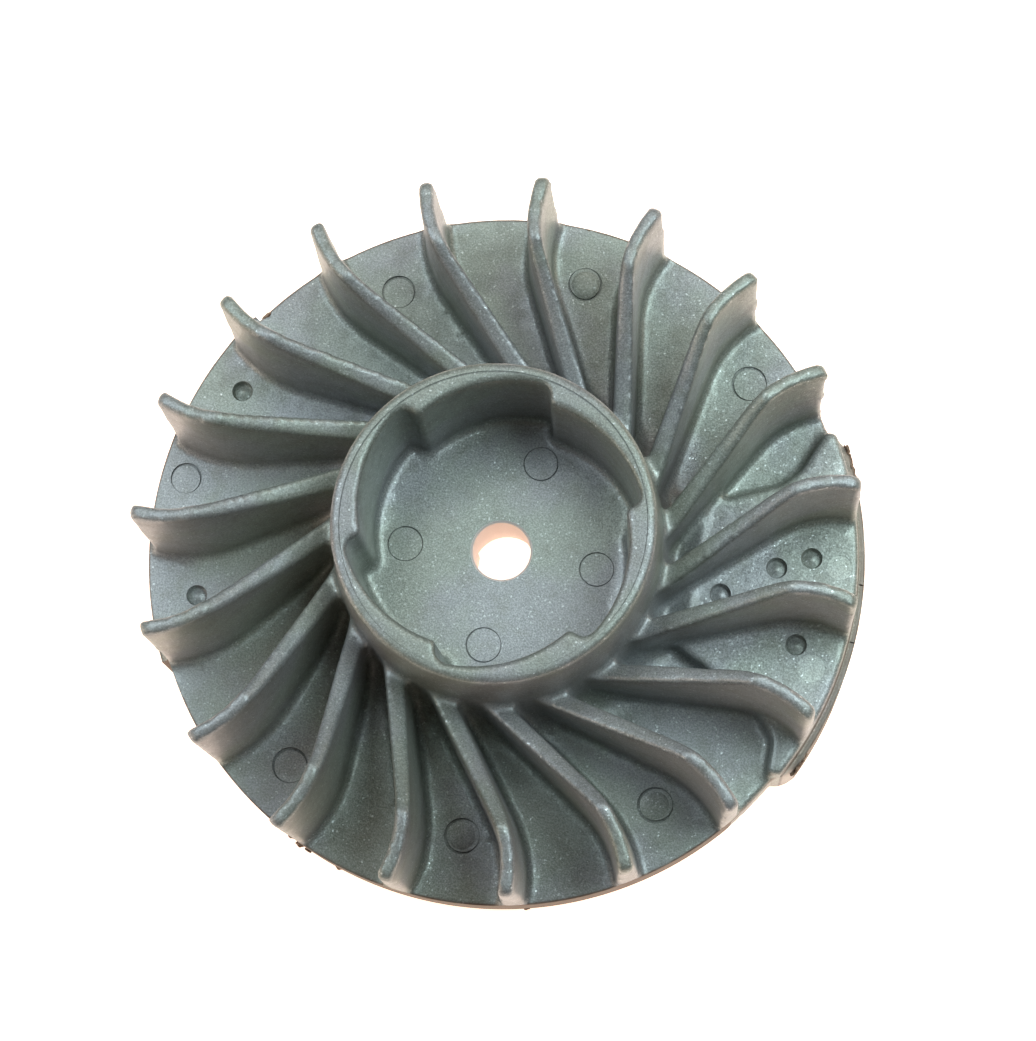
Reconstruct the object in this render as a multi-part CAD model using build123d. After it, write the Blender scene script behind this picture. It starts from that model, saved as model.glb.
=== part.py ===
from build123d import *

import math
import os

# Flywheel of a small two-stroke engine. A die-cast aluminium wheel carries the cooling-fan
# vanes and the starter cup, and holds a magnet between two laminated steel pole shoes.
#
# Frame: +Z runs along the crankshaft towards the fan side, and +X points at the middle of
# the magnet. The origin is on the bore's axis, in the plane of the disc's fan-side face.
# All sizes are in millimetres and degrees.

# --- disc and rim -------------------------------------------------------------------------
DISC_RADIUS = 49.0
WEB_THICKNESS = 3.5
RIM_DEPTH = 6.7           # the rim's ring, measured back from the fan-side face
RIM_WIDTH = 4.5
RIM_ROUNDING = 0.6
BACK_Z = -12.0            # back of the hub boss, the magnet block and the counterweight

# --- hub boss and bore --------------------------------------------------------------------
BOSS_RADIUS = 9.5
BOSS_ROOT_RADIUS = 10.4
BORE_RADIUS = 4.05
BORE_CHAMFER = 0.35
TAPER_TOP_Z = -4.0        # the crankshaft taper ends here and the plain bore begins
TAPER_MOUTH_RADIUS = 4.85
KEY_WIDTH = 2.4           # rib cast in the taper, which drops in the crankshaft's keyway
KEY_FACE_RADIUS = 4.2
KEY_TOP_Z = -6.0
BACK_POCKET_RADIUS = 18.5
BACK_POCKET_Z = -1.2

# --- hub wall and starter cup -------------------------------------------------------------
HUB_TOP_Z = 23.4
HUB_TOP_RADIUS = 21.8
HUB_ROOT_RADIUS = 23.4
HUB_FLARE_RADIUS = 5.0
HUB_EDGE_ROUNDING = 0.5
CUP_FLOOR_Z = 2.9
CUP_DRAFT = 1.0
RATCHET_COUNT = 6
RATCHET_PHASE = 15.2      # first step of the ratchet, from +X
RATCHET_HIGH_RADIUS = 17.7
RATCHET_LOW_RADIUS = 20.2
RATCHET_STEP_ANGLE = 1.5
RATCHET_NOSE_ROUNDING = 0.5
RATCHET_CORNER_ROUNDING = 1.8

# --- fan vanes ----------------------------------------------------------------------------
VANE_COUNT = 19
VANE_PHASE = -2.4         # tip of the vane nearest +X
VANE_ROOT_RADIUS = 24.2
VANE_ROOT_LAG = 18.2      # the root lies this far clockwise of the tip
VANE_INNER_SLANT = 24.2   # straight inner run, against the radius through the tip
VANE_TIP_SLANT = -15.0    # direction of the curved outer run at the tip
VANE_BASE_THICKNESS = 3.3
VANE_OUTER_RADIUS = 48.8
PAD_VANE_OUTER_RADIUS = 49.4    # the vanes that stand on the raised pad end a little further out
VANE_DRAFT = 1.9
VANE_TIP_HEIGHT = 20.2
VANE_BEND_HEIGHT = 21.3
VANE_BEND_RADIUS = 40.3
VANE_ROOT_HEIGHT = 11.2
VANE_END_SPARE = 3.0      # each end runs this far into the hub wall or past the disc

# --- magnet block and counterweight -------------------------------------------------------
BLOCK_RADIUS = 50.6
BLOCK_INNER_X = 39.4
BLOCK_HALF_WIDTH = 24.4
PAD_HEIGHT = 3.0
PAD_RADIUS = 49.6
PAD_EDGE = (              # corners of the raised pad's edge, from its +Y end to its -Y end
    (41.8, 24.4), (39.3, 18.4), (37.0, 15.9), (28.8, 12.4), (26.4, 8.0),
    (26.3, -9.2), (33.0, -12.5), (39.0, -16.6), (41.3, -19.6), (41.3, -24.4),
)
PAD_EDGE_ROUNDING = 1.2
COUNTERWEIGHT_RADIUS = 50.0
COUNTERWEIGHT_INNER_RADIUS = 38.0
COUNTERWEIGHT_MIDDLE = 176.7
COUNTERWEIGHT_HALF_ANGLE = 31.3

# --- magnet, pole shoes and rivets --------------------------------------------------------
SHOE_INNER_X = 41.0
SHOE_INNER_Y = 4.1
SHOE_OUTER_Y = 12.4
LAMINATION_THICKNESS = 1.0
LAMINATION_COUNT = 11
MAGNET_OUTER_X = 46.6
MAGNET_HEIGHT = 10.0
RIVET_RADIUS = 1.2
RIVET_X = (43.2, 47.2)

# --- ejector-pin dimples: (angle, radius from the axis) -----------------------------------
DIMPLE_RADIUS = 1.45
DIMPLE_DEPTH = 1.0
DISC_DIMPLES = ((157.2, 44.3), (197.3, 43.4))
PAD_DIMPLES = ((-1.7, 31.0), (6.0, 38.3), (8.2, 43.1), (-8.3, 42.9))

VANE_PITCH = 360 / VANE_COUNT
SHOE_HEIGHT = LAMINATION_THICKNESS * LAMINATION_COUNT


def polar(radius, angle):
    """Point in the XY plane at a radius and an angle from +X."""
    turn = math.radians(angle)
    return Vector(radius * math.cos(turn), radius * math.sin(turn))


def round_corner(face, corner, radius):
    """Round the corner of a flat outline that lies nearest to a given point."""
    nearest = face.vertices().sort_by_distance(Vector(*corner))[0]
    return fillet(nearest, radius)


def upright(face):
    """Stand an outline drawn in radius and height up in the XZ plane and revolve it."""
    return revolve(Plane.XZ * face, Axis.Z)


def drum(radius, low, high):
    """Plain disc about the axis between two heights."""
    return Pos(0, 0, low) * Cylinder(radius, high - low, align=(Align.CENTER, Align.CENTER, Align.MIN))


def slab(outline, low, high):
    """Extrude an outline upwards from one height to another."""
    return extrude(Pos(0, 0, low) * outline, high - low, dir=(0, 0, 1))


# --- the wheel's turned shape ---------------------------------------------------------------
def wheel_body():
    """Disc, rim ring, hub wall and hub boss, with the cup still full."""
    rim_inner = DISC_RADIUS - RIM_WIDTH
    outline = make_face(Polyline(
        (0, BACK_Z),
        (BOSS_RADIUS, BACK_Z),
        (BOSS_ROOT_RADIUS, BACK_POCKET_Z),
        (BACK_POCKET_RADIUS, BACK_POCKET_Z),
        (BACK_POCKET_RADIUS + 1, -WEB_THICKNESS),
        (rim_inner, -WEB_THICKNESS),
        (rim_inner + RIM_ROUNDING, -RIM_DEPTH),
        (DISC_RADIUS, -RIM_DEPTH),
        (DISC_RADIUS, 0),
        (HUB_ROOT_RADIUS, 0),
        (HUB_TOP_RADIUS, HUB_TOP_Z),
        (0, HUB_TOP_Z),
        close=True,
    ))
    outline = round_corner(outline, (HUB_ROOT_RADIUS, 0), HUB_FLARE_RADIUS)
    outline = round_corner(outline, (HUB_TOP_RADIUS, HUB_TOP_Z), HUB_EDGE_ROUNDING)
    outline = round_corner(outline, (DISC_RADIUS, -RIM_DEPTH), RIM_ROUNDING)
    outline = round_corner(outline, (BOSS_RADIUS, BACK_Z), HUB_EDGE_ROUNDING)
    return upright(outline)


def ratchet_cup():
    """Space inside the hub: six ramps that step inwards where the starter pawls catch."""
    pitch = 360 / RATCHET_COUNT
    edges = []
    for index in range(RATCHET_COUNT):
        step = RATCHET_PHASE + index * pitch
        nose = polar(RATCHET_HIGH_RADIUS, step)
        corner = polar(RATCHET_LOW_RADIUS, step + RATCHET_STEP_ANGLE)
        next_nose = polar(RATCHET_HIGH_RADIUS, step + pitch)
        middle_radius = (RATCHET_HIGH_RADIUS + RATCHET_LOW_RADIUS) / 2
        middle = polar(middle_radius, step + (pitch + RATCHET_STEP_ANGLE) / 2)
        edges.append(Line(nose, corner))
        edges.append(ThreePointArc(corner, middle, next_nose))
    outline = make_face(edges)
    for index in range(RATCHET_COUNT):
        step = RATCHET_PHASE + index * pitch
        corner = polar(RATCHET_LOW_RADIUS, step + RATCHET_STEP_ANGLE)
        outline = round_corner(outline, polar(RATCHET_HIGH_RADIUS, step), RATCHET_NOSE_ROUNDING)
        outline = round_corner(outline, corner, RATCHET_CORNER_ROUNDING)
    depth = HUB_TOP_Z - CUP_FLOOR_Z
    return extrude(Pos(0, 0, HUB_TOP_Z) * outline, depth, dir=(0, 0, -1), taper=CUP_DRAFT)


def crank_bore():
    """Plain bore and crankshaft taper, less the rib that keys the wheel to the shaft."""
    bore = upright(make_face(Polyline(
        (0, BACK_Z - 1),
        (TAPER_MOUTH_RADIUS, BACK_Z - 1),
        (TAPER_MOUTH_RADIUS, BACK_Z),
        (BORE_RADIUS, TAPER_TOP_Z),
        (BORE_RADIUS, CUP_FLOOR_Z - BORE_CHAMFER),
        (BORE_RADIUS + 2 * BORE_CHAMFER, CUP_FLOOR_Z + BORE_CHAMFER),
        (0, CUP_FLOOR_Z + BORE_CHAMFER),
        close=True,
    )))
    rib = Pos(-KEY_FACE_RADIUS, 0, KEY_TOP_Z) * Box(
        BORE_RADIUS, KEY_WIDTH, DISC_RADIUS, align=(Align.MAX, Align.CENTER, Align.MAX))
    return bore - rib


# --- fan vanes ------------------------------------------------------------------------------
def vane_line():
    """Root, bend start, arc centre and arc radius of a vane whose tip lies on +X."""
    root = polar(VANE_ROOT_RADIUS, -VANE_ROOT_LAG)
    tip = polar(DISC_RADIUS, 0)
    run = polar(1, VANE_INNER_SLANT)
    chord = polar(1, (VANE_INNER_SLANT + VANE_TIP_SLANT) / 2)
    gap = tip - root
    straight = (gap.X * chord.Y - gap.Y * chord.X) / (run.X * chord.Y - run.Y * chord.X)
    bend = root + run * straight
    half_turn = math.radians(VANE_INNER_SLANT - VANE_TIP_SLANT) / 2
    arc_radius = (tip - bend).length / (2 * math.sin(half_turn))
    centre = bend + polar(arc_radius, VANE_INNER_SLANT - 90)
    return root, bend, centre, arc_radius


def vane_outline(thickness):
    """Plan of a vane of one thickness, run on into the hub wall and past the disc."""
    root, bend, centre, arc_radius = vane_line()
    half = thickness / 2
    side = polar(half, VANE_INNER_SLANT + 90)
    start = root - polar(VANE_END_SPARE, VANE_INNER_SLANT)
    bend_angle = VANE_INNER_SLANT + 90
    end_angle = VANE_TIP_SLANT + 90 - math.degrees(VANE_END_SPARE / arc_radius)
    turn = end_angle - bend_angle
    inner_arc = CenterArc(centre, arc_radius - half, bend_angle, turn)
    outer_arc = CenterArc(centre, arc_radius + half, end_angle, -turn)
    return make_face([
        Line(start - side, bend - side),
        inner_arc,
        Line(inner_arc @ 1, outer_arc @ 0),
        outer_arc,
        Line(bend + side, start + side),
        Line(start + side, start - side),
    ])


def vane():
    """One vane as it leaves the die: straight, then curved, and thinner towards its edge."""
    low = -1
    high = VANE_BEND_HEIGHT + 1
    spread = 2 * math.tan(math.radians(VANE_DRAFT))
    foot = Pos(0, 0, low) * vane_outline(VANE_BASE_THICKNESS - low * spread)
    edge = Pos(0, 0, high) * vane_outline(VANE_BASE_THICKNESS - high * spread)
    return loft([foot, edge], ruled=True)


def fan_envelope(outer_radius):
    """Turned outline that trims the vanes to the fan cover's shape."""
    slope = (VANE_BEND_HEIGHT - VANE_ROOT_HEIGHT) / (VANE_BEND_RADIUS - VANE_ROOT_RADIUS)
    inner_radius = HUB_TOP_RADIUS - 1
    inner_height = VANE_ROOT_HEIGHT - slope * (VANE_ROOT_RADIUS - inner_radius)
    return upright(make_face(Polyline(
        (inner_radius, -1),
        (outer_radius, -1),
        (outer_radius, VANE_TIP_HEIGHT),
        (VANE_BEND_RADIUS, VANE_BEND_HEIGHT),
        (inner_radius, inner_height),
        close=True,
    )))


def stands_on_pad(angle):
    """Whether the vane whose tip lies at an angle from +X ends on the raised pad."""
    tip = polar(PAD_RADIUS, angle)
    return tip.X > 0 and abs(tip.Y) < BLOCK_HALF_WIDTH


def fan_vanes():
    """All the vanes, evenly spaced."""
    on_disc = vane() & fan_envelope(VANE_OUTER_RADIUS)
    on_pad = vane() & fan_envelope(PAD_VANE_OUTER_RADIUS)
    angles = [VANE_PHASE + index * VANE_PITCH for index in range(VANE_COUNT)]
    return [Rot(0, 0, angle) * (on_pad if stands_on_pad(angle) else on_disc) for angle in angles]


# --- magnet block and counterweight -----------------------------------------------------------
def block_outline():
    """Straight-sided block outline at +X, with a round outer side."""
    square = Pos(BLOCK_INNER_X, 0) * Rectangle(
        BLOCK_RADIUS, 2 * BLOCK_HALF_WIDTH, align=(Align.MIN, Align.CENTER))
    return square & Circle(BLOCK_RADIUS)


def pad_outline():
    """Outline of the raised pad, which reaches in between the vanes beside the magnet."""
    first, last = PAD_EDGE[0], PAD_EDGE[-1]
    spare = (BLOCK_RADIUS, first[1]), (BLOCK_RADIUS, last[1])
    outline = make_face(Polyline(*PAD_EDGE, spare[1], spare[0], close=True))
    for corner in PAD_EDGE[1:-1]:
        outline = round_corner(outline, corner, PAD_EDGE_ROUNDING)
    return outline & Circle(PAD_RADIUS)


def magnet_block():
    """Thick part of the rim that holds the magnet, with its raised pad on the fan side."""
    return [slab(block_outline(), BACK_Z, 0), slab(pad_outline(), -1, PAD_HEIGHT)]


def counterweight():
    """Thick part of the rim opposite the magnet, a little larger than the disc."""
    first = COUNTERWEIGHT_MIDDLE - COUNTERWEIGHT_HALF_ANGLE
    last = COUNTERWEIGHT_MIDDLE + COUNTERWEIGHT_HALF_ANGLE
    outer = [polar(COUNTERWEIGHT_RADIUS, angle) for angle in (first, COUNTERWEIGHT_MIDDLE, last)]
    inner = [polar(COUNTERWEIGHT_INNER_RADIUS, angle) for angle in (first, COUNTERWEIGHT_MIDDLE, last)]
    return slab(make_face([
        ThreePointArc(*outer),
        Line(outer[2], inner[2]),
        ThreePointArc(*inner),
        Line(inner[0], outer[0]),
    ]), BACK_Z, 0)


# --- magnet, pole shoes and rivets ------------------------------------------------------------
def shoe_outline(sign):
    """Stamped outline of one pole shoe, on the +Y or the -Y side of the magnet."""
    width = SHOE_OUTER_Y - SHOE_INNER_Y
    middle = sign * (SHOE_OUTER_Y + SHOE_INNER_Y) / 2
    square = Pos(SHOE_INNER_X, middle) * Rectangle(BLOCK_RADIUS, width, align=(Align.MIN, Align.CENTER))
    return square & Circle(BLOCK_RADIUS)


def rivet_places(sign):
    """Rivet centres in one pole shoe."""
    middle = sign * (SHOE_OUTER_Y + SHOE_INNER_Y) / 2
    return [Pos(x, middle) for x in RIVET_X]


def lamination(sign, index):
    """One stamped steel sheet of a pole shoe, counted from the back."""
    holes = [place * Circle(RIVET_RADIUS) for place in rivet_places(sign)]
    low = -SHOE_HEIGHT + index * LAMINATION_THICKNESS
    return slab(shoe_outline(sign) - holes, low, low + LAMINATION_THICKNESS)


def rivets():
    """Rivets that hold both stacks of laminations together."""
    places = rivet_places(1) + rivet_places(-1)
    return [slab(place * Circle(RIVET_RADIUS), -SHOE_HEIGHT, 0) for place in places]


def magnet():
    """Magnet bar, held between the two pole shoes."""
    bar = Pos(SHOE_INNER_X, 0) * Rectangle(
        MAGNET_OUTER_X - SHOE_INNER_X, 2 * SHOE_INNER_Y, align=(Align.MIN, Align.CENTER))
    low = -(SHOE_HEIGHT + MAGNET_HEIGHT) / 2
    return slab(bar, low, low + MAGNET_HEIGHT)


# --- the casting ------------------------------------------------------------------------------
def dimples():
    """Ejector-pin recesses on the disc and on the raised pad."""
    on_disc = [(angle, radius, 0) for angle, radius in DISC_DIMPLES]
    on_pad = [(angle, radius, PAD_HEIGHT) for angle, radius in PAD_DIMPLES]
    pits = []
    for angle, radius, face_z in on_disc + on_pad:
        place = polar(radius, angle)
        pits.append(Pos(place.X, place.Y) * drum(DIMPLE_RADIUS, face_z - DIMPLE_DEPTH, face_z + 1))
    return pits


def wheel_casting():
    """The whole aluminium casting, with its machined bore and the pockets for the steel."""
    casting = wheel_body() + magnet_block() + counterweight()
    casting += fan_vanes()
    shoe_pockets = [slab(shoe_outline(sign), -SHOE_HEIGHT, 0) for sign in (1, -1)]
    casting -= [ratchet_cup(), crank_bore(), magnet()] + shoe_pockets + dimples()
    return casting


# --- write one file for each piece -------------------------------------------------------------
def single(shape):
    """The one solid of a piece that has to be in one piece."""
    solids = shape.solids()
    if len(solids) != 1:
        raise ValueError(f"expected one solid, found {len(solids)}")
    return solids[0]


def all_pieces():
    """Every separate piece, by the name of its node."""
    pieces = {"wheel_casting": single(wheel_casting()), "magnet": single(magnet())}
    for shoe, sign in (("leading_shoe", -1), ("trailing_shoe", 1)):
        for index in range(LAMINATION_COUNT):
            pieces[f"{shoe}_lamination_{index + 1:02d}"] = single(lamination(sign, index))
    pieces["pole_shoe_rivets"] = Compound([single(rivet) for rivet in rivets()])
    return pieces


os.makedirs("parts", exist_ok=True)
for node, piece in all_pieces().items():
    export_step(piece, f"parts/{node}.step")
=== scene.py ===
import math

import bmesh
import bpy
import numpy as np
import openvdb as vdb
from mathutils import Matrix, Vector


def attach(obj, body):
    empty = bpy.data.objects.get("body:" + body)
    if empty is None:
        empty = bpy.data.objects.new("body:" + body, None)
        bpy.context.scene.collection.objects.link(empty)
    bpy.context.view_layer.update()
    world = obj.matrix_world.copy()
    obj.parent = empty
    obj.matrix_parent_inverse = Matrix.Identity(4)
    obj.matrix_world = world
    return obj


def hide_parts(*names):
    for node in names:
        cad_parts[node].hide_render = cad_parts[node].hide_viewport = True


# Looks of the flywheel. Lengths are millimetres, down to the line that scales the casting's mesh to
# metres. The lights are placed in metres.
MM = 0.001

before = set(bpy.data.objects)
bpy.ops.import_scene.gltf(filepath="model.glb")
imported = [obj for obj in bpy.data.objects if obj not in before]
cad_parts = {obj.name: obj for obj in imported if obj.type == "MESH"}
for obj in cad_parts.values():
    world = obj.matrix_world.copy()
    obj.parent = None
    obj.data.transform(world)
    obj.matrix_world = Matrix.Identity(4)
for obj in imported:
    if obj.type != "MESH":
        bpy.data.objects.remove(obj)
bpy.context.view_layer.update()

# --- sizes the looks share with the part ----------------------------------------------------------
DISC_RADIUS = 49.0
BLOCK_RADIUS = 50.6
BLOCK_HALF_WIDTH = 24.4
COUNTERWEIGHT_RADIUS = 50.0
COUNTERWEIGHT_ENDS = (145.4, 208.0)
BLOCK_SECTOR = 30         # degrees on each side of +X that the rim is turned to the block's radius
RIM_DEPTH = 6.7
VANE_OUTER_RADIUS = 48.8
PAD_VANE_OUTER_RADIUS = 49.4
VANE_TIP_Z = 20.2
VANE_TOP_SLOPE = 0.129    # the top edge rises inwards from the tip
PAD_Z = 3.0
PAD_RADIUS = 49.6
CUP_FLOOR_Z = 2.9
HUB_TOP_Z = 23.4
BACK_Z = -12.0
BORE_RADIUS = 4.05
TAPER_MOUTH_RADIUS = 4.85
TAPER_TOP_Z = -4.0
KEY_HALF_WIDTH = 1.2
KEY_FACE_X = -4.2
KEY_TOP_Z = -6.0
SHOE_INNER_X = 41.0
SHOE_SPAN_Y = (4.1, 12.4)
SHOE_LOW_Z = -11.0
DIMPLE_RADIUS = 1.45
DIMPLE_DEPTH = 1.0
DISC_DIMPLES = ((157.2, 44.3), (197.3, 43.4))
PAD_DIMPLES = ((-1.7, 31.0), (6.0, 38.3), (8.2, 43.1), (-8.3, 42.9))

# --- how the cast skin is made --------------------------------------------------------------------
VOXEL = 0.35
BAND = 6                  # half width of the distance field, in voxels
REACH = BAND * VOXEL      # distances further out are cut off to this
HOLLOW_ROUNDING = 0.6     # radius that inside corners take
EDGE_ROUNDING = 0.36      # radius that outside edges take
VANE_TIP_LEAN = 0.45      # how far the tip of a vane's end stands outside its foot
PAD_VANE_LEAN = 0.2       # the same, inwards, for the vanes on the pad
BLOCK_CORNER_ROUNDING = 1.6
VANE_CORNER_ROUNDING = 1.0    # at the outer end of each vane's top edge
TURNED_STOCK = 0.6        # extra metal outside the rim, which the turning cut takes off again
STOCK_ROOT = 3.0          # how far that metal reaches into the disc
RIM_EDGE_LEFT = 0.8       # height along the rim's lower edge that stays as cast
BACK_EDGE_LEFT = 0.6      # the same at the lower edge of the block and of the counterweight
FILL_MARGIN = 0.1         # pockets and dimples are filled this much wider than they are cut again
BORE_MARGIN = 0.4
PAD_RAMP_X = (21, 27)     # where the pad runs down to the hub
PAD_RAMP_Y = (-7, 12)
PAD_RAMP_FOOT_Z = 0.6
PAD_RAMP_SLOPE = 0.45
SKIN_ADAPTIVITY = 0.02
GRID = vdb.createLinearTransform(voxelSize=VOXEL)


def place(radius, angle, z=0.0):
    turn = math.radians(angle)
    return np.array((radius * math.cos(turn), radius * math.sin(turn), z))


# --- small mesh tools -----------------------------------------------------------------------------
def new_object(name, points, faces):
    mesh = bpy.data.meshes.new(name)
    mesh.from_pydata([tuple(float(c) for c in point) for point in points], [], faces)
    mesh.update()
    piece = bpy.data.objects.new(name, mesh)
    bpy.context.scene.collection.objects.link(piece)
    return piece


def lathe(name, profile, steps, centre=(0, 0, 0)):
    """Solid turned about a vertical axis. The profile runs from the axis to the axis, bottom first."""
    cx, cy, cz = centre
    points, faces, rings = [], [], []
    for radius, z in profile:
        if radius == 0:
            rings.append([len(points)])
            points.append((cx, cy, cz + z))
            continue
        rings.append(list(range(len(points), len(points) + steps)))
        for k in range(steps):
            turn = 2 * math.pi * k / steps
            points.append((cx + radius * math.cos(turn), cy + radius * math.sin(turn), cz + z))
    for low, high in zip(rings, rings[1:]):
        for k in range(steps):
            nxt = (k + 1) % steps
            if len(low) == 1:
                faces.append((low[0], high[nxt], high[k]))
            elif len(high) == 1:
                faces.append((low[k], low[nxt], high[0]))
            else:
                faces.append((low[k], low[nxt], high[nxt], high[k]))
    return new_object(name, points, faces)


def ring(name, centre, outer, width, low, high, steps=72, shift=(0.0, 0.0)):
    """Flat ring whose inner circle may be off centre, so that it is wider on one side."""
    points = []
    for z in (low, high):
        for radius, (dx, dy) in ((outer, (0, 0)), (outer - width, shift)):
            cx, cy = centre[0] + dx, centre[1] + dy
            for k in range(steps):
                turn = 2 * math.pi * k / steps
                points.append((cx + radius * math.cos(turn), cy + radius * math.sin(turn), z))
    return new_object(name, points, tube_faces(steps))


def tube_faces(count):
    """Faces between four closed loops of points: outer low, inner low, outer high, inner high."""
    faces = []
    for k in range(count):
        nxt = (k + 1) % count
        outer_low, inner_low, outer_high, inner_high = (k + step * count for step in range(4))
        outer_low2, inner_low2, outer_high2, inner_high2 = (nxt + step * count for step in range(4))
        faces += [(outer_low, outer_low2, outer_high2, outer_high),
                  (inner_low, inner_high, inner_high2, inner_low2),
                  (outer_high, outer_high2, inner_high2, inner_high),
                  (outer_low, inner_low, inner_low2, outer_low2)]
    return faces


def prism(name, outline, low, high):
    """Upright prism over a counter-clockwise outline."""
    n = len(outline)
    points = [(x, y, low) for x, y in outline] + [(x, y, high) for x, y in outline]
    faces = [tuple(reversed(range(n))), tuple(range(n, 2 * n))]
    faces += [(k, (k + 1) % n, n + (k + 1) % n, n + k) for k in range(n)]
    return new_object(name, points, faces)


def join(name, parts):
    """One object out of several that don't overlap."""
    bm = bmesh.new()
    for part in parts:
        bm.from_mesh(part.data)
        bpy.data.objects.remove(part)
    mesh = bpy.data.meshes.new(name)
    bm.to_mesh(mesh)
    bm.free()
    piece = bpy.data.objects.new(name, mesh)
    bpy.context.scene.collection.objects.link(piece)
    return piece


def boolean(piece, other, operation):
    """Combine two closed meshes and keep the result in the first."""
    step = piece.modifiers.new("cut", "BOOLEAN")
    step.operation = operation
    step.object = other
    step.solver = "MANIFOLD"
    step.material_mode = "TRANSFER"
    graph = bpy.context.evaluated_depsgraph_get()
    graph.update()
    result = bpy.data.meshes.new_from_object(piece.evaluated_get(graph))
    piece.modifiers.clear()
    piece.data = result
    bpy.data.objects.remove(other)
    return piece


def keep_largest(piece):
    """Drop the loose slivers that the cuts left behind."""
    bm = bmesh.new()
    bm.from_mesh(piece.data)
    left = set(bm.verts)
    largest = set()
    while left:
        island = {left.pop()}
        front = list(island)
        while front:
            for edge in front.pop().link_edges:
                for vert in edge.verts:
                    if vert not in island:
                        island.add(vert)
                        front.append(vert)
        left -= island
        if len(island) > len(largest):
            largest = island
    bmesh.ops.delete(bm, geom=[vert for vert in bm.verts if vert not in largest], context="VERTS")
    bm.to_mesh(piece.data)
    bm.free()


# --- the cast skin: corners filled and edges rounded through a distance field ---------------------
def node_arrays(name):
    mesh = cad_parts[name].data
    points = np.empty(len(mesh.vertices) * 3, np.float32)
    mesh.vertices.foreach_get("co", points)
    mesh.calc_loop_triangles()
    corners = np.empty(len(mesh.loop_triangles) * 3, np.int32)
    mesh.loop_triangles.foreach_get("vertices", corners)
    return points.reshape(-1, 3) / MM, corners.reshape(-1, 3)


def distance_field(points, triangles, quads=()):
    faces = {}
    if len(triangles):
        faces["triangles"] = triangles
    if len(quads):
        faces["quads"] = quads
    return vdb.FloatGrid.createLevelSetFromPolygons(points, transform=GRID, halfWidth=BAND, **faces)


def offset(grid, distance):
    """Distance field of the surface that lies at a distance outside (or inside) this one."""
    points, triangles, quads = grid.convertToPolygons(isovalue=distance)
    return distance_field(points, triangles, quads)


class DenseField:
    """Dense copy of a distance field, with the coordinates of its samples."""

    def __init__(self, grid):
        low, high = grid.evalActiveVoxelBoundingBox()
        self.low = np.array(low) - 2
        self.shape = tuple(np.array(high) - np.array(low) + 5)
        self.values = np.empty(self.shape, np.float32)
        grid.copyToArray(self.values, ijk=tuple(int(v) for v in self.low))
        axes = [(np.arange(n) + self.low[k]).astype(np.float32) * VOXEL for k, n in enumerate(self.shape)]
        self.x, self.y, self.z = np.meshgrid(*axes, indexing="ij", sparse=True)

    def fill(self, *distances):
        """Add solids, each given as the distances outside its bounding surfaces."""
        solid = distances[0]
        for distance in distances[1:]:
            solid = np.maximum(solid, distance)
        self.values = np.minimum(self.values, np.clip(solid, -REACH, REACH))

    def trim(self, distance, where):
        """Take away what lies outside a surface, in one region."""
        outside = np.where(where, np.clip(distance, -REACH, REACH), -REACH)
        self.values = np.maximum(self.values, outside)

    def grid(self):
        out = vdb.FloatGrid(REACH)
        out.transform = GRID
        out.copyFromArray(self.values.astype(np.float32), ijk=tuple(int(v) for v in self.low))
        return out

    def gradient(self, points):
        """Unit gradient of the field at points."""
        field = self.values
        spot = points / VOXEL - self.low
        base = np.clip(np.floor(spot).astype(int), 1, np.array(self.shape) - 3)
        part = spot - base
        total = np.zeros_like(points)
        for step in np.ndindex(2, 2, 2):
            weight = np.where(step, part, 1 - part).prod(axis=1)
            i, j, k = (base + step).T
            slope = np.stack((field[i + 1, j, k] - field[i - 1, j, k],
                              field[i, j + 1, k] - field[i, j - 1, k],
                              field[i, j, k + 1] - field[i, j, k - 1]), axis=1)
            total += weight[:, None] * slope
        length = np.linalg.norm(total, axis=1, keepdims=True)
        return total / np.maximum(length, 1e-6)


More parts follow.
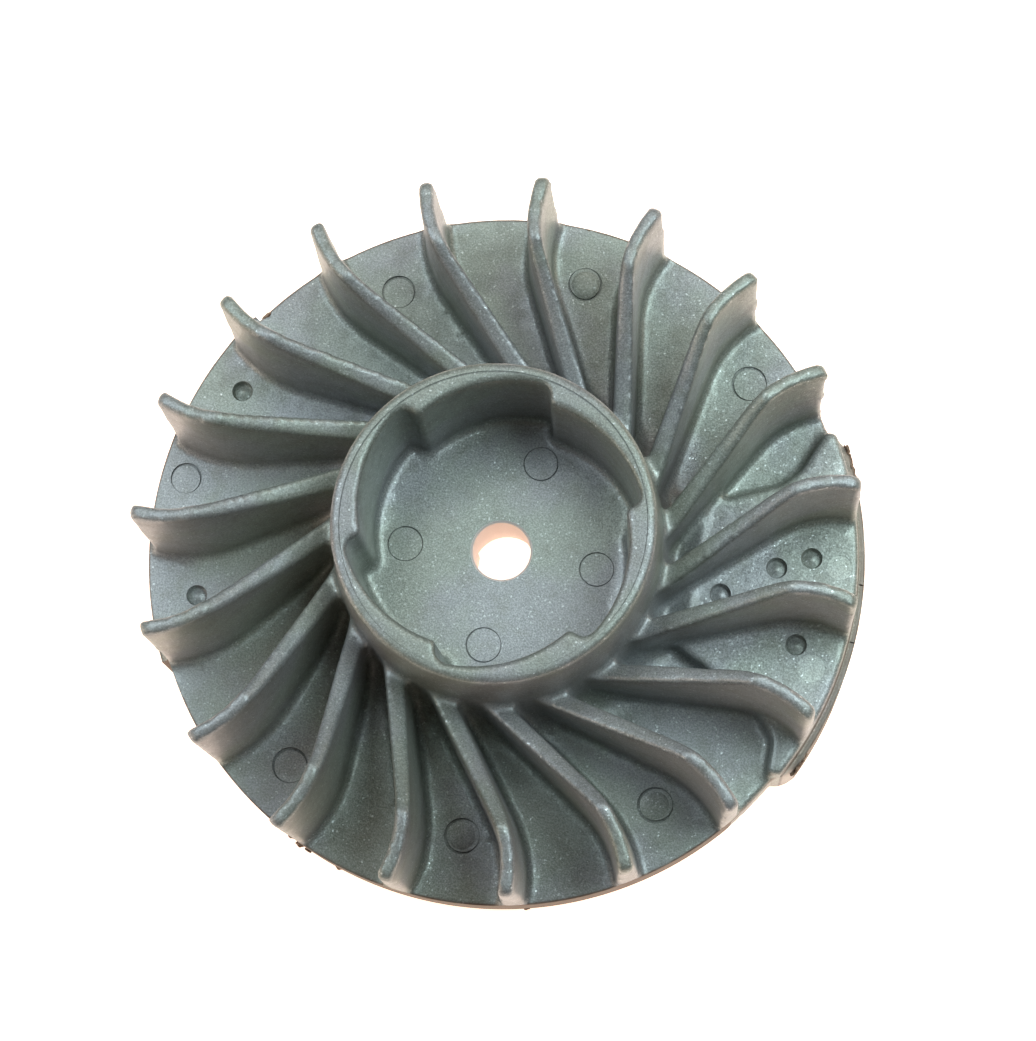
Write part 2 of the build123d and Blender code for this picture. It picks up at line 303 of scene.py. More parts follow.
def cast_skin():
    """Points, faces and a dense field of the casting with its machined features filled in."""
    corners, triangles = node_arrays("wheel_casting")
    # the vanes end flush with the disc at their foot and lean out a little at their tip
    reach = np.hypot(corners[:, 0], corners[:, 1])
    end = (np.abs(reach - VANE_OUTER_RADIUS) < 0.05) & (corners[:, 2] > -0.01)
    leaned = DISC_RADIUS + VANE_TIP_LEAN * corners[:, 2] / VANE_TIP_Z
    corners[end, :2] *= (leaned / reach)[end, None]
    # and those on the pad end flush with its edge
    end = (np.abs(reach - PAD_VANE_OUTER_RADIUS) < 0.05) & (corners[:, 2] > -0.01)
    leaned = PAD_RADIUS - PAD_VANE_LEAN * corners[:, 2] / VANE_TIP_Z
    corners[end, :2] *= (leaned / reach)[end, None]
    metal = DenseField(distance_field(corners, triangles))
    x, y, z = metal.x, metal.y, metal.z
    radius = np.sqrt(x * x + y * y)
    # metal for the turning cut to take off: round the disc, the block and the counterweight
    stock = radius - TURNED_STOCK
    root = DISC_RADIUS - STOCK_ROOT - radius
    clear = math.radians(BLOCK_SECTOR + 2)
    metal.fill(stock - DISC_RADIUS, RIM_EDGE_LEFT - RIM_DEPTH - z, z, root,
               x * math.sin(clear) - np.abs(y) * math.cos(clear))
    above_back = BACK_EDGE_LEFT + BACK_Z - z
    metal.fill(stock - BLOCK_RADIUS, np.abs(y) - BLOCK_HALF_WIDTH, SHOE_INNER_X - x, z, above_back)
    first, last = [math.radians(angle) for angle in COUNTERWEIGHT_ENDS]
    metal.fill(stock - COUNTERWEIGHT_RADIUS, x * math.sin(first) - y * math.cos(first),
               y * math.cos(last) - x * math.sin(last), root, z, above_back)
    # the pad runs down to the hub between the vanes
    metal.fill(PAD_RAMP_X[0] - x, x - PAD_RAMP_X[1], PAD_RAMP_Y[0] - y, y - PAD_RAMP_Y[1], -1 - z,
               z - PAD_RAMP_FOOT_Z - PAD_RAMP_SLOPE * (x - PAD_RAMP_X[0]))
    # bore, shoe pockets and dimples are filled here and cut again with sharp edges later
    metal.fill(radius - (TAPER_MOUTH_RADIUS + BORE_MARGIN), BACK_Z - z, z - CUP_FLOOR_Z)
    metal.fill(SHOE_INNER_X - FILL_MARGIN - x, np.abs(y) - (SHOE_SPAN_Y[1] + FILL_MARGIN),
               SHOE_LOW_Z - FILL_MARGIN - z, z, radius - BLOCK_RADIUS)
    for spots, top in ((DISC_DIMPLES, 0.0), (PAD_DIMPLES, PAD_Z)):
        for angle, reach in spots:
            px, py, _ = place(reach, angle)
            metal.fill(np.sqrt((x - px) ** 2 + (y - py) ** 2) - (DIMPLE_RADIUS + FILL_MARGIN),
                       top - DIMPLE_DEPTH - FILL_MARGIN - z, z - top)
    # rounded corners: each vane's outer top, and the block's upright edges
    tip = DISC_RADIUS + VANE_TIP_LEAN
    along = radius - (tip - VANE_CORNER_ROUNDING)
    up = z - (VANE_TIP_Z + VANE_TOP_SLOPE * (tip - radius) - VANE_CORNER_ROUNDING)
    metal.trim(np.sqrt(along ** 2 + up ** 2) - VANE_CORNER_ROUNDING, (along > 0) & (up > 0))
    out = radius - (BLOCK_RADIUS - BLOCK_CORNER_ROUNDING)
    aside = np.abs(y) - (BLOCK_HALF_WIDTH - BLOCK_CORNER_ROUNDING)
    beyond_disc = ((z < 0) & (radius > DISC_RADIUS + TURNED_STOCK)) | (z < -RIM_DEPTH)
    metal.trim(np.sqrt(out ** 2 + aside ** 2) - BLOCK_CORNER_ROUNDING,
               (out > 0) & (aside > 0) & (x > 38) & beyond_disc)
    grid = offset(metal.grid(), HOLLOW_ROUNDING)
    grid = offset(grid, -HOLLOW_ROUNDING - EDGE_ROUNDING)
    points, triangles, quads = grid.convertToPolygons(isovalue=EDGE_ROUNDING, adaptivity=SKIN_ADAPTIVITY)
    faces = [tuple(reversed(face)) for face in quads.tolist() + triangles.tolist()]
    return points.astype(np.float64), faces, DenseField(grid)


points, faces, field = cast_skin()
casting = new_object("wheel_casting_skin", points, faces)

# --- what is cut into it afterwards: bore, shoe pockets, dimples, ejector marks and seams ---------
CLEAR_X = 53              # well outside the block
CLEAR_RADIUS = 56         # well outside the whole rim
MOUTH_CHAMFER = 0.35
BORE_CHAMFER = 0.4


def box(name, x_span, y_span, low, high):
    (x0, x1), (y0, y1) = x_span, y_span
    return prism(name, [(x0, y0), (x1, y0), (x1, y1), (x0, y1)], low, high)


def bore_cut():
    """Taper, plain bore and their chamfers, less the key rib that stays in the taper."""
    profile = [(0, BACK_Z - 1), (TAPER_MOUTH_RADIUS + MOUTH_CHAMFER, BACK_Z - 1),
               (TAPER_MOUTH_RADIUS + MOUTH_CHAMFER, BACK_Z - 0.05), (TAPER_MOUTH_RADIUS, BACK_Z + 0.3),
               (BORE_RADIUS, TAPER_TOP_Z), (BORE_RADIUS, CUP_FLOOR_Z - 0.3),
               (BORE_RADIUS + BORE_CHAMFER, CUP_FLOOR_Z + 0.1),
               (BORE_RADIUS + BORE_CHAMFER, CUP_FLOOR_Z + 1), (0, CUP_FLOOR_Z + 1)]
    rib = box("key_rib", (-9, KEY_FACE_X), (-KEY_HALF_WIDTH, KEY_HALF_WIDTH), BACK_Z - 2, KEY_TOP_Z)
    return boolean(lathe("bore_cut", profile, 128), rib, "DIFFERENCE")


def shoe_pocket(side):
    return box("pocket_cut", (SHOE_INNER_X, CLEAR_X), sorted(side * y for y in SHOE_SPAN_Y), SHOE_LOW_Z, 0)


def turned_radius(angle):
    """Radius that the rim is turned to."""
    if min(angle, 360 - angle) <= BLOCK_SECTOR:
        return BLOCK_RADIUS
    return COUNTERWEIGHT_RADIUS if COUNTERWEIGHT_ENDS[0] <= angle < COUNTERWEIGHT_ENDS[1] else DISC_RADIUS


def turning_cut(name, radii, low, high):
    """Ring of everything outside a rim radius given for each degree, with steps where it changes."""
    inner = []
    for angle, radius in enumerate(radii):
        if radius != radii[angle - 1]:
            inner += [place(radii[angle - 1], angle - 0.5), place(radius, angle - 0.499)]
        inner.append(place(radius, angle))
    outer = [point * CLEAR_RADIUS / math.hypot(point[0], point[1]) for point in inner]
    points = [(x, y, z) for z in (low, high) for loop in (outer, inner) for x, y, _ in loop]
    return new_object(name, points, tube_faces(len(inner)))


def dimple_cut(angle, reach, top):
    """Blind hole with a raised middle and a small groove round it."""
    wall = DIMPLE_RADIUS
    floor = -DIMPLE_DEPTH
    profile = [(0, floor + 0.22), (0.3 * wall, floor + 0.16), (0.6 * wall, floor - 0.08),
               (0.78 * wall, floor - 0.12), (0.9 * wall, floor + 0.02), (0.96 * wall, floor + 0.3),
               (wall, -0.05), (wall + 0.06, 0.06), (wall + 0.06, 0.5), (0, 0.5)]
    return lathe("dimple_cut", profile, 48, centre=place(reach, angle, top))


# angle, distance from the axis, mark radius, groove width, direction in which the groove is widest
DISC_MARKS = ((83.5, 40.9, 2.45, 0.30, 290), (45.1, 42.5, 2.5, 0.26, 140), (121.4, 41.3, 2.4, 0.26, 110),
              (-124.9, 41.7, 2.5, 0.26, 120), (-87.9, 39.8, 2.5, 0.30, 190), (-49.0, 41.1, 2.5, 0.36, 215),
              (175.8, 46.4, 2.2, 0.2, 90))
CUP_MARKS = ((185.2, 13.5, 2.5, 0.16, 90), (76.0, 13.5, 2.45, 0.16, 300), (-1.6, 13.5, 2.45, 0.16, 180),
             (-90.5, 13.5, 2.5, 0.18, 200))
GROOVE_DEPTH = 0.3
# angle, distance from the axis, radius
PAD_PATCHES = ((6.7, 47.0, 1.75), (-11.4, 45.9, 1.95))
PATCH_DEPTH = 0.07
SEAM_START_X = 49.3
SEAM_HALF_WIDTH = 0.09
SEAM_DEPTH = 1.2
RIM_LINE_RADIUS = 20.62
RIM_LINE_WIDTH = 0.13
RIM_LINE_SHIFT = (0.022, -0.12)
ABOVE = 0.3               # how far a shallow cutter stands out of the face that it cuts

# which of the cutter's materials a cut leaves behind; the first, 0, is the plain cut, GROOVE the one darkened
# with painted shade
GROOVE, PATCH = 1, 2


def painted(piece, slot):
    for polygon in piece.data.polygons:
        polygon.material_index = slot
    return piece


cuts = [bore_cut(), shoe_pocket(1), shoe_pocket(-1)]
cuts += [dimple_cut(angle, reach, 0.0) for angle, reach in DISC_DIMPLES]
cuts += [dimple_cut(angle, reach, PAD_Z) for angle, reach in PAD_DIMPLES]
for marks, top, uneven in ((DISC_MARKS, 0.0, 0.8), (CUP_MARKS, CUP_FLOOR_Z, 0.4)):
    for angle, reach, radius, width, widest in marks:
        lean = place(uneven * width, widest + 180)
        groove = ring("mark_cut", place(reach, angle), radius, width, top - GROOVE_DEPTH, top + ABOVE,
                      shift=lean[:2])
        cuts.append(painted(groove, GROOVE))
for angle, reach, radius in PAD_PATCHES:
    profile = [(0, -PATCH_DEPTH), (radius - 0.04, -PATCH_DEPTH), (radius, ABOVE), (0, ABOVE)]
    patch = lathe("patch_cut", profile, 48, centre=place(reach, angle, PAD_Z))
    cuts.append(painted(patch, PATCH))
for side in (-1, 1):
    for seam in SHOE_SPAN_Y:
        seam_span = (side * seam - SEAM_HALF_WIDTH, side * seam + SEAM_HALF_WIDTH)
        cuts.append(painted(box("seam_cut", (SEAM_START_X, CLEAR_X), seam_span, -SEAM_DEPTH, 0.4), GROOVE))
rim_line = ring("rim_line_cut", (0, 0, 0), RIM_LINE_RADIUS, RIM_LINE_WIDTH, HUB_TOP_Z - RIM_LINE_WIDTH,
                HUB_TOP_Z + ABOVE, steps=200, shift=RIM_LINE_SHIFT)
cuts.append(painted(rim_line, GROOVE))
cutter = join("cutter", cuts)

cast_material = bpy.data.materials.new("cast_skin")
cut_material = bpy.data.materials.new("cut_skin")
groove_shade_material = bpy.data.materials.new("groove_shaded_skin")
patch_material = bpy.data.materials.new("patch_skin")
flash_material = bpy.data.materials.new("flash_skin")
casting.data.materials.append(cast_material)
for material in (cut_material, groove_shade_material, patch_material):
    cutter.data.materials.append(material)
turning = turning_cut("turning", [turned_radius(angle) for angle in range(360)], BACK_Z - 2, 1)
turning.data.materials.append(cut_material)
casting = boolean(casting, turning, "DIFFERENCE")
casting = boolean(casting, cutter, "DIFFERENCE")

# some ejector marks stand slightly proud: angle, distance from the axis, radius, rise
DOMES = ((83.5, 40.9, 2.1, 0.16), (-49.0, 41.1, 2.1, 0.1), (-87.9, 39.8, 2.1, 0.08))
for angle, reach, radius, rise in DOMES:
    dome = lathe("dome", [(0, -0.5), (radius, -0.5), (radius, -0.04), (0.8 * radius, 0.45 * rise),
                          (0.5 * radius, 0.85 * rise), (0, rise)], 48, centre=place(reach, angle))
    dome.data.materials.append(cut_material)
    casting = boolean(casting, dome, "UNION")


# --- burrs that the turning left on the rim, and torn flash at the ends of the magnet sector ------
def burr(radius, angle, z, size, dice):
    """Jagged crumb of metal, longer along the rim than across it."""
    bm = bmesh.new()
    bmesh.ops.create_icosphere(bm, subdivisions=2, radius=1.0)
    turn = math.radians(angle)
    along, out = Vector((-math.sin(turn), math.cos(turn), 0)), Vector((math.cos(turn), math.sin(turn), 0))
    centre = out * radius + Vector((0, 0, z))
    for vert in bm.verts:
        jag = size * dice.uniform(0.55, 1.15)
        spot = vert.co * jag
        vert.co = centre + out * spot.x * 0.8 + along * spot.y * 1.6 + Vector((0, 0, spot.z))
    mesh = bpy.data.meshes.new("burr")
    bm.to_mesh(mesh)
    bm.free()
    crumb = bpy.data.objects.new("burr", mesh)
    bpy.context.scene.collection.objects.link(crumb)
    crumb.data.materials.append(flash_material)
    return crumb


# distance from the axis, angle, height, size
RIM_BURRS = ((48.8, 85.5, -0.25, 0.4), (48.9, 144.0, -0.3, 0.55), (49.0, -117.6, -6.1, 0.36),
             (49.1, -115.6, -5.9, 0.5), (49.05, -113.9, -5.7, 0.42), (49.0, -108.1, -6.1, 0.34),
             (48.7, -85.5, -6.3, 0.28), (48.95, -76.2, -6.2, 0.33))
# first angle, last angle, distance from the axis, lowest, highest, how many
FLASH = ((21.5, 27.6, 50.6, -1.2, -0.05, 30), (-27.6, -24.2, 50.55, -1.0, -0.1, 14))
dice = np.random.default_rng(7)
crumbs = [burr(reach, angle, z, size, dice) for reach, angle, z, size in RIM_BURRS]
for first, last, reach, low, high, count in FLASH:
    for k in range(count):
        angle = first + (last - first) * (k + dice.uniform(0, 1)) / count
        crumbs.append(burr(reach + dice.uniform(-0.15, 0.2), angle, dice.uniform(low, high),
                           dice.uniform(0.2, 0.42), dice))
flash = crumbs[0]
for crumb in crumbs[1:]:
    flash = boolean(flash, crumb, "UNION")
casting = boolean(casting, flash, "UNION")
keep_largest(casting)


# --- shading normals: the field's own on cast faces, Blender's on cut ones ------------------------
def finish_normals(piece, field):
    mesh = piece.data
    count = len(mesh.vertices)
    where = np.empty(count * 3)
    mesh.vertices.foreach_get("co", where)
    where = where.reshape(-1, 3)
    normals = field.gradient(where)
    slots = np.empty(len(mesh.polygons), np.int32)
    mesh.polygons.foreach_get("material_index", slots)
    totals = np.empty(len(mesh.polygons), np.int32)
    mesh.polygons.foreach_get("loop_total", totals)
    corner_slot = np.repeat(slots, totals)
    corner_vertex = np.empty(len(mesh.loops), np.int32)
    mesh.loops.foreach_get("vertex_index", corner_vertex)
    mesh.shade_smooth()
    cast_slot = [m.name for m in mesh.materials].index("cast_skin")
    bm = bmesh.new()
    bm.from_mesh(mesh)
    for edge in bm.edges:
        kinds = {face.material_index for face in edge.link_faces}
        if len(kinds) > 1 or (cast_slot not in kinds and edge.calc_face_angle(0) > math.radians(25)):
            edge.smooth = False
    bm.to_mesh(mesh)
    bm.free()
    corner_normals = normals[corner_vertex]
    corner_normals[corner_slot != cast_slot] = 0
    mesh.normals_split_custom_set([tuple(n) for n in corner_normals])


finish_normals(casting, field)
casting.data.transform(Matrix.Scale(MM, 4))


# --- materials ------------------------------------------------------------------------------------
class Nodes:
    """Short hand for building a node tree."""

    def __init__(self, material):
        material.use_nodes = True
        self.tree = material.node_tree
        self.tree.nodes.clear()
        self.output = self.tree.nodes.new("ShaderNodeOutputMaterial")
        self.shader = self.tree.nodes.new("ShaderNodeBsdfPrincipled")
        self.tree.links.new(self.shader.outputs[0], self.output.inputs[0])
        spot = self.tree.nodes.new("ShaderNodeTexCoord")
        scale = self.tree.nodes.new("ShaderNodeVectorMath")
        scale.operation = "SCALE"
        scale.inputs["Scale"].default_value = 1 / MM
        self.link(spot.outputs["Object"], scale.inputs[0])
        self.mm = scale.outputs[0]

    def link(self, source, target):
        self.tree.links.new(source, target)

    def put(self, value, socket):
        if isinstance(value, bpy.types.NodeSocket):
            self.link(value, socket)
        else:
            socket.default_value = value

    def noise(self, scale, detail=2.0, rough=0.5, vector=None):
        node = self.tree.nodes.new("ShaderNodeTexNoise")
        self.link(vector or self.mm, node.inputs["Vector"])
        node.inputs["Scale"].default_value = scale
        node.inputs["Detail"].default_value = detail
        node.inputs["Roughness"].default_value = rough
        return node.outputs["Fac"]

    def cells(self, scale):
        """A colour picked anew for every cell."""
        node = self.tree.nodes.new("ShaderNodeTexVoronoi")
        self.link(self.mm, node.inputs["Vector"])
        node.inputs["Scale"].default_value = scale
        return node.outputs["Color"]

    def math(self, operation, a, b=0.0, c=0.0):
        node = self.tree.nodes.new("ShaderNodeMath")
        node.operation = operation
        for value, socket in zip((a, b, c), node.inputs):
            self.put(value, socket)
        return node.outputs[0]

    def span(self, value, low, high, to_low=0.0, to_high=1.0):
        """Smooth step from one value to another while the input goes from low to high."""
        node = self.tree.nodes.new("ShaderNodeMapRange")
        node.interpolation_type = "SMOOTHSTEP"
        for given, name in ((value, "Value"), (low, "From Min"), (high, "From Max"), (to_low, "To Min"),
                            (to_high, "To Max")):
            self.put(given, node.inputs[name])
        return node.outputs[0]

    def mix(self, factor, a, b, blend="MIX"):
        node = self.tree.nodes.new("ShaderNodeMix")
        node.data_type = "RGBA"
        node.blend_type = blend
        node.clamp_factor = True
        self.put(factor, node.inputs[0])
        self.put(a, node.inputs[6])
        self.put(b, node.inputs[7])
        return node.outputs[2]

    def parts(self, vector):
        node = self.tree.nodes.new("ShaderNodeSeparateXYZ")
        self.link(vector, node.inputs[0])
        return node.outputs[0], node.outputs[1], node.outputs[2]

    def radius(self):
        x, y, _ = self.parts(self.mm)
        return self.math("SQRT", self.math("ADD", self.math("MULTIPLY", x, x), self.math("MULTIPLY", y, y)))

    def stretched(self, *factors):
        """Millimetre coordinates scaled along each axis."""
        node = self.tree.nodes.new("ShaderNodeVectorMath")
        node.operation = "MULTIPLY"
        self.link(self.mm, node.inputs[0])
        node.inputs[1].default_value = factors
        return node.outputs[0]

    def bump(self, height, distance, normal=None):
        node = self.tree.nodes.new("ShaderNodeBump")
        node.inputs["Strength"].default_value = 1.0
        node.inputs["Distance"].default_value = distance * MM
        self.link(height, node.inputs["Height"])
        if normal is not None:
            self.link(normal, node.inputs["Normal"])
        return node.outputs[0]

    def facets(self, cell, tilt, normal):
        """Tilt the normal a little, another way in every cell, as in grains of metal."""
        turned = self.tree.nodes.new("ShaderNodeVectorMath")
        turned.operation = "MULTIPLY_ADD"
        self.link(cell, turned.inputs[0])
        turned.inputs[1].default_value = (2 * tilt, 2 * tilt, 2 * tilt)
        turned.inputs[2].default_value = (-tilt, -tilt, -tilt)
        total = self.tree.nodes.new("ShaderNodeVectorMath")
        self.link(turned.outputs[0], total.inputs[0])
        self.link(normal, total.inputs[1])
        unit = self.tree.nodes.new("ShaderNodeVectorMath")
        unit.operation = "NORMALIZE"
        self.link(total.outputs[0], unit.inputs[0])
        return unit.outputs[0]

    def set(self, **values):
        for name, value in values.items():
            self.put(value, self.shader.inputs[name.replace("_", " ")])


CAST_METALLIC = 0.45


def grey(value):
    return (value, value, value, 1.0)


def cast_look(n):
    """Die-cast aluminium: grey-green skin, speckled grain, cloudy stains, a few bright specks painted in as
    painted glints, and painted shade towards -y and towards the top.
    """
    cloud = n.noise(0.05, 3.0, 0.55)
    blotch = n.noise(0.35, 3.0, 0.55)
    grain = n.noise(3.8, 2.0, 0.6)
    fine = n.noise(6.5, 2.0, 0.6)
    cell = n.cells(4.8)
    spark_pick, spark_tone, _ = n.parts(cell)
    glint_speck = n.math("MULTIPLY", n.span(spark_pick, 0.95, 0.98), n.span(spark_tone, 0.1, 1.0))
    body = n.mix(n.span(cloud, 0.42, 0.58), (0.272, 0.298, 0.268, 1), (0.286, 0.296, 0.302, 1))
    body = n.mix(n.span(blotch, 0.45, 0.75, 0.0, 0.4), body, (0.215, 0.222, 0.190, 1))
    speckle = n.math("MULTIPLY", n.span(grain, 0.33, 0.67, 0.80, 1.20), n.span(fine, 0.33, 0.67, 0.88, 1.12))
    body = n.mix(1.0, body, speckle, "MULTIPLY")
    _, y, z = n.parts(n.mm)
    # painted shade: the colour darker towards -y, standing in for the hub's shadow on that side
    body = n.mix(1.0, body, n.span(y, -46, -14, 0.84, 1.0), "MULTIPLY")
    # painted shade: the colour darker towards the tops of the vanes and of the hub wall
    body = n.mix(1.0, body, n.span(z, 11, 21, 1.0, 0.87), "MULTIPLY")
    body = n.mix(1.0, body, n.span(z, 22.4, 23.1, 1.0, 0.9), "MULTIPLY")
    # painted glint: a few random cells get a bright colour, with a little less roughness
    body = n.mix(n.math("MULTIPLY", glint_speck, 0.6), body, (0.62, 0.66, 0.66, 1))
    rough = n.math("SUBTRACT", n.span(blotch, 0.3, 0.7, 0.40, 0.48), n.math("MULTIPLY", glint_speck, 0.15))
    return body, rough, grain, fine, cell


def rim_stain_and_shade(n, body):
    """Tan ledge outside the pad, painted shade as a dark line at the pad's foot, and a brown stain along the
    edge.
    """
    x, y, z = n.parts(n.mm)
    radius = n.radius()
    beside = n.math("ABSOLUTE", y)
    in_block = n.math("MULTIPLY", n.span(x, 40.6, 40.8),
                      n.span(beside, BLOCK_HALF_WIDTH, BLOCK_HALF_WIDTH + 0.1, 1.0, 0.0))
    in_weight = n.span(x, -40.6, -40.4, 1.0, 0.0)
    outer = n.math("MULTIPLY_ADD", in_block, BLOCK_RADIUS - DISC_RADIUS, DISC_RADIUS)
    outer = n.math("MULTIPLY_ADD", in_weight, COUNTERWEIGHT_RADIUS - DISC_RADIUS, outer)
    inset = n.math("SUBTRACT", radius, outer)
    low = n.span(z, 0.15, 0.4, 1.0, 0.0)
    ledge = n.math("MULTIPLY", n.span(radius, PAD_RADIUS + 0.02, PAD_RADIUS + 0.12), in_block)
    ledge_tan = n.mix(n.noise(0.8, 3.0), (0.28, 0.24, 0.205, 1), (0.40, 0.37, 0.335, 1))
    body = n.mix(n.math("MULTIPLY", n.math("MULTIPLY", ledge, low), 0.8), body, ledge_tan)
    # painted shade: a near-black line at the pad's foot, on its outer wall and the ledge beside it
    foot = n.math("MULTIPLY", n.span(radius, PAD_RADIUS - 0.12, PAD_RADIUS - 0.02), in_block)
    foot = n.math("MULTIPLY", foot, n.span(radius, PAD_RADIUS + 0.1, PAD_RADIUS + 0.24, 0.75, 0.0))
    foot = n.math("MULTIPLY", foot, n.span(z, 2.2, 2.9, 1.0, 0.0))
    body = n.mix(foot, body, (0.075, 0.055, 0.042, 1))
    edge = n.math("MULTIPLY", n.span(inset, -0.35, -0.1), low)
    edge = n.math("MULTIPLY", edge, n.span(z, -1.1, -0.3, 0.22, 1.0))
    stain = n.math("MULTIPLY", edge, n.span(n.noise(0.25, 3.0), 0.35, 0.6, 0.5, 0.95))
    brown = n.mix(n.noise(1.2, 3.0), (0.115, 0.078, 0.056, 1), (0.205, 0.155, 0.125, 1))
    return n.mix(stain, body, brown)


def make_cast(material, shade=1.0):
    """As-cast faces; darker, with painted shade, for the grooves pressed into them, and lighter, in a tone of
    their own, for the patches.
    """
    n = Nodes(material)
    body, rough, grain, fine, cell = cast_look(n)
    if shade != 1.0:
        body = n.mix(1.0, body, grey(shade), "MULTIPLY")
    body = rim_stain_and_shade(n, body)
    height = n.math("ADD", n.math("MULTIPLY", grain, 0.6), n.math("MULTIPLY", fine, 0.4))
    normal = n.bump(height, 0.035)
    normal = n.facets(cell, 0.05, n.bump(n.noise(0.22, 2.0), 0.10, normal))
    n.set(Base_Color=body, Roughness=rough, Normal=normal)
    n.shader.inputs["Metallic"].default_value = CAST_METALLIC


def make_cut(material):
    """Bore painted pale pink-white, partly bright turned metal and partly painted light from the floor, and
    the rim as it was turned: brown, dull, with the tool's marks round it.
    """
    n = Nodes(material)
    body, rough, grain, _, _ = cast_look(n)
    radius = n.radius()
    _, _, z = n.parts(n.mm)
    # painted light: the bore's wall pale pink-white with the turning lay, as if lit by the floor
    bore = n.span(radius, 5.2, 5.6, 1.0, 0.0)
    lay = n.math("SINE", n.math("MULTIPLY", z, 38.0))
    turned = n.mix(n.span(lay, -1, 1), (0.76, 0.69, 0.66, 1), (0.88, 0.82, 0.79, 1))
    body = n.mix(bore, body, turned)
    fresh = n.mix(n.noise(0.9, 3.0), (0.21, 0.165, 0.135, 1), (0.31, 0.265, 0.23, 1))
    on_rim = n.span(radius, DISC_RADIUS - 0.08, DISC_RADIUS - 0.02)
    body = n.mix(n.math("MULTIPLY", on_rim, 0.8), body, fresh)
    body = rim_stain_and_shade(n, body)
    rough = n.mix(bore, rough, grey(0.32))
    rough = n.mix(on_rim, rough, grey(0.72))
    tool = n.noise(1.0, 3.0, 0.6, vector=n.stretched(0.05, 0.05, 5.0))
    height = n.math("ADD", n.math("MULTIPLY", grain, 0.5), n.math("MULTIPLY", tool, 0.8))
    n.set(Base_Color=body, Roughness=rough, Normal=n.bump(height, 0.02))
    n.shader.inputs["Metallic"].default_value = CAST_METALLIC
    n.shader.inputs["Specular Tint"].default_value = (0.5, 0.42, 0.36, 1)


def make_flash(material):
    """Torn metal with a rusty brown skin."""
    n = Nodes(material)
    patch = n.noise(1.6, 3.0, 0.6)
    fine = n.noise(6.0, 2.0, 0.6)
    body = n.mix(n.span(patch, 0.35, 0.65), (0.155, 0.092, 0.058, 1), (0.33, 0.24, 0.18, 1))
    body = n.mix(n.span(fine, 0.5, 0.75, 0.0, 0.6), body, (0.08, 0.055, 0.04, 1))
    n.set(Base_Color=body, Roughness=n.span(patch, 0.3, 0.7, 0.55, 0.75), Normal=n.bump(fine, 0.05))
    n.shader.inputs["Metallic"].default_value = 0.5


def make_steel(material, tint_low, tint_high, roughness, lay_scale, sheet=0.0):
    """Steel, with a dark seam between sheets where a sheet thickness is given."""
    n = Nodes(material)
    patch = n.noise(1.1, 4.0, 0.6)
    fleck = n.noise(6.0, 2.0, 0.6)
    _, _, z = n.parts(n.mm)
    lay = n.noise(lay_scale, 2.0, 0.5)
    body = n.mix(n.span(patch, 0.35, 0.65), tint_low, tint_high)
    body = n.mix(n.span(fleck, 0.55, 0.75, 0.0, 0.6), body, (0.14, 0.10, 0.075, 1))
    if sheet:
        step = n.math("PINGPONG", z, 0.5 * sheet)
        seam = n.math("MULTIPLY", n.span(step, 0.03, 0.09, 1.0, 0.0),
                      n.span(z, SHOE_LOW_Z + 0.1, SHOE_LOW_Z + 0.2))
        seam = n.math("MULTIPLY", seam, n.span(z, -0.2, -0.1, 1.0, 0.0))
        body = n.mix(n.math("MULTIPLY", seam, 0.85), body, (0.05, 0.04, 0.035, 1))
    rough = n.span(patch, 0.3, 0.7, roughness - 0.08, roughness + 0.1)
    height = n.math("ADD", n.math("MULTIPLY", fleck, 0.5), n.math("MULTIPLY", lay, 0.5))
    n.set(Base_Color=body, Roughness=rough, Normal=n.bump(height, 0.02))
    n.shader.inputs["Metallic"].default_value = 0.9


make_cast(cast_material)
make_cut(cut_material)
# painted shade: grooves, seams and the line round the hub's rim are 0.6 as dark as the cast skin
make_cast(groove_shade_material, shade=0.6)
make_cast(patch_material, shade=1.35)
make_flash(flash_material)
lamination_material = bpy.data.materials.new("lamination_look")
make_steel(lamination_material, (0.30, 0.27, 0.245, 1), (0.41, 0.385, 0.36, 1), 0.42, 3.0, sheet=1.0)
rivet_material = bpy.data.materials.new("rivet_look")
make_steel(rivet_material, (0.40, 0.39, 0.38, 1), (0.50, 0.49, 0.48, 1), 0.38, 4.0)
magnet_material = bpy.data.materials.new("magnet_look")
make_steel(magnet_material, (0.12, 0.12, 0.125, 1), (0.18, 0.18, 0.185, 1), 0.5, 5.0)

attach(casting, "root")
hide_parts("wheel_casting")

for name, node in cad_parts.items():
    if "lamination" in name:
        look = lamination_material
    elif name == "pole_shoe_rivets":
        look = rivet_material
    elif name == "magnet":
        look = magnet_material
    else:
        continue
    for slot in node.material_slots:
        slot.material = look

# --- floor, light and camera ------------------------------------------------------------------------
FLOOR_Z = BACK_Z * MM
FLOOR_REACH = 3.0         # metres


def floor_look(material):
    n = Nodes(material)
    n.set(Base_Color=(0.86, 0.84, 0.82, 1), Roughness=0.9)
    n.shader.inputs["Emission Color"].default_value = (1.0, 0.73, 0.58, 1)
    n.shader.inputs["Emission Strength"].default_value = 1.4


floor_corners = [(FLOOR_REACH * x, FLOOR_REACH * y, FLOOR_Z) for x, y in ((-1, -1), (1, -1), (1, 1), (-1, 1))]
floor = new_object("floor", floor_corners, [(0, 1, 2, 3)])
floor_material = bpy.data.materials.new("floor")
floor_look(floor_material)
floor.data.materials.append(floor_material)

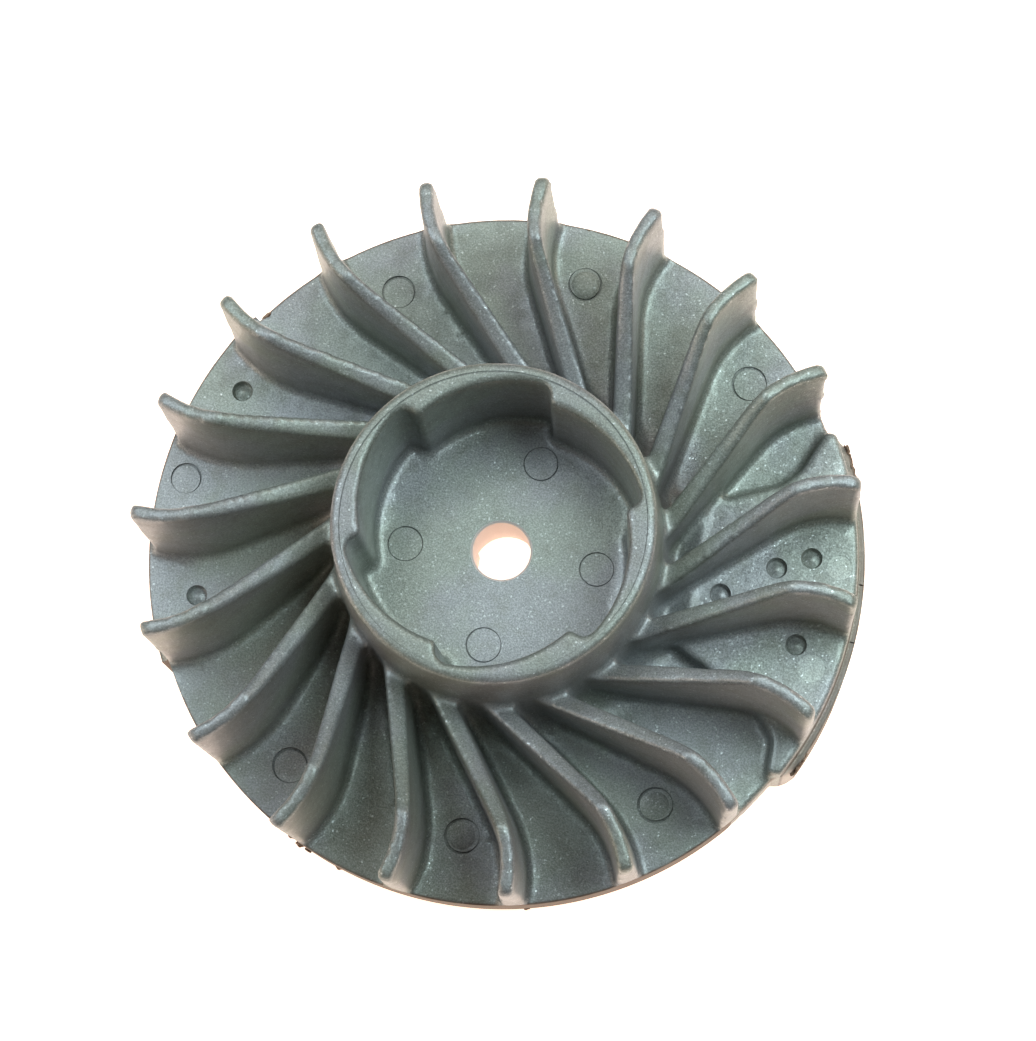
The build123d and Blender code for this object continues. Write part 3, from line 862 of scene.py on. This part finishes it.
world = bpy.data.worlds.new("studio")
bpy.context.scene.world = world
world.use_nodes = True
world.node_tree.nodes["Background"].inputs["Color"].default_value = (1.0, 0.78, 0.68, 1)
world.node_tree.nodes["Background"].inputs["Strength"].default_value = 0.08


def soft_box(name, where, size, power, colour):
    """Square light, in metres and watts, that looks at the wheel's centre."""
    light = bpy.data.lights.new(name, "AREA")
    light.shape = "SQUARE"
    light.size = size
    light.energy = power
    light.color = colour
    lamp = bpy.data.objects.new(name, light)
    bpy.context.scene.collection.objects.link(lamp)
    lamp.location = where
    lamp.rotation_mode = "QUATERNION"
    lamp.rotation_quaternion = (-Vector(where)).to_track_quat("-Z", "Y")


soft_box("right_box", (0.26, 0.12, 0.52), 0.3, 2.5, (0.79, 0.97, 1.0))
soft_box("left_box", (-0.31, 0.08, 0.50), 0.3, 1.4, (0.79, 0.93, 1.0))
soft_box("top_box", (0.0, 0.34, 0.49), 0.3, 0.55, (0.98, 0.97, 0.9))
soft_box("glint_box", (-0.16, 0.22, 0.54), 0.08, 0.22, (0.95, 1.0, 0.97))
soft_box("low_left", (-0.50, -0.26, 0.21), 0.35, 1.05, (1.0, 0.82, 0.66))
soft_box("low_right", (0.40, 0.40, 0.21), 0.35, 0.5, (1.0, 0.78, 0.58))

camera_data = bpy.data.cameras.new("camera")
camera = bpy.data.objects.new("camera", camera_data)
bpy.context.scene.collection.objects.link(camera)
CAMERA_SPOT = (37.73, -77.30, 420.41)
CAMERA_RIGHT = (0.982905, 0.177039, -0.050544)
CAMERA_UP = (-0.163399, 0.965315, 0.203635)
right, up = Vector(CAMERA_RIGHT), Vector(CAMERA_UP)
back = right.cross(up)
turn = Matrix((right, up, back)).transposed()
camera.matrix_world = Matrix.Translation(Vector(CAMERA_SPOT) * MM) @ turn.to_4x4()
camera_data.sensor_width = 36
camera_data.sensor_fit = "AUTO"
camera_data.lens = 105.777
camera_data.clip_start = 0.01
camera_data.clip_end = 20
bpy.context.scene.camera = camera
bpy.context.scene.view_settings.view_transform = "Standard"
bpy.context.scene.view_settings.look = "None"
